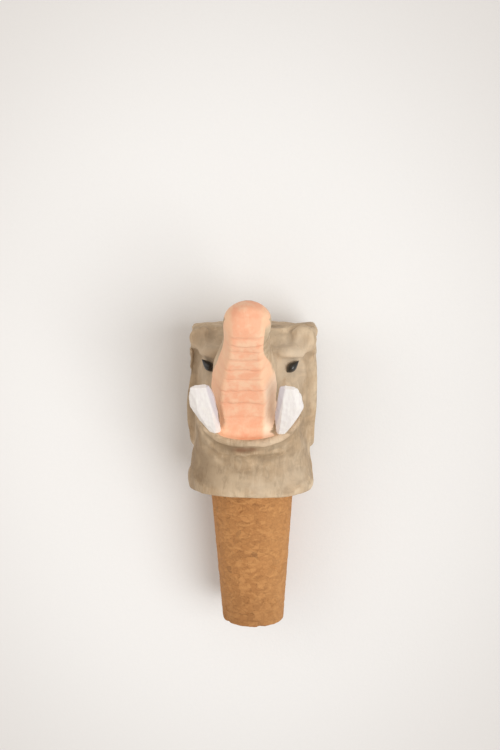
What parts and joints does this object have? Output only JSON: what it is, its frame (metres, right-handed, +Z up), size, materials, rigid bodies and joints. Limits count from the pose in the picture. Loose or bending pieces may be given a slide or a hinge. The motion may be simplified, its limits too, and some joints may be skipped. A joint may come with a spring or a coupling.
{
  "type": "bottle stopper",
  "caption": "Tapered cork bottle stopper topped by a carved, painted wooden elephant head with a raised trunk and white tusks.",
  "frame": {"origin": "middle of the flat at the back of the head, on which the stopper lies", "axes": "+Z up from the surface it lies on, the way the face looks; +Y along the stopper from the cork to the crown; +X to the left of the animal, right in the picture"},
  "size_m": [0.0342, 0.0868, 0.0566],
  "materials": {
    "painted_wood": "carved wood under a thin grey-beige wash, with a salmon pink underside of the trunk and gloss black eyes",
    "white_wood": "whittled wood with brushed white paint",
    "cork": "pressed cork granules, matt; wood stands in for cork",
    "dowel_wood": "plain turned wood"
  },
  "bodies": {
    "root": {"carved_head": "painted_wood", "tusk_left": "white_wood", "tusk_right": "white_wood", "cork": "cork", "dowel": "dowel_wood"}
  },
  "joints": []
}
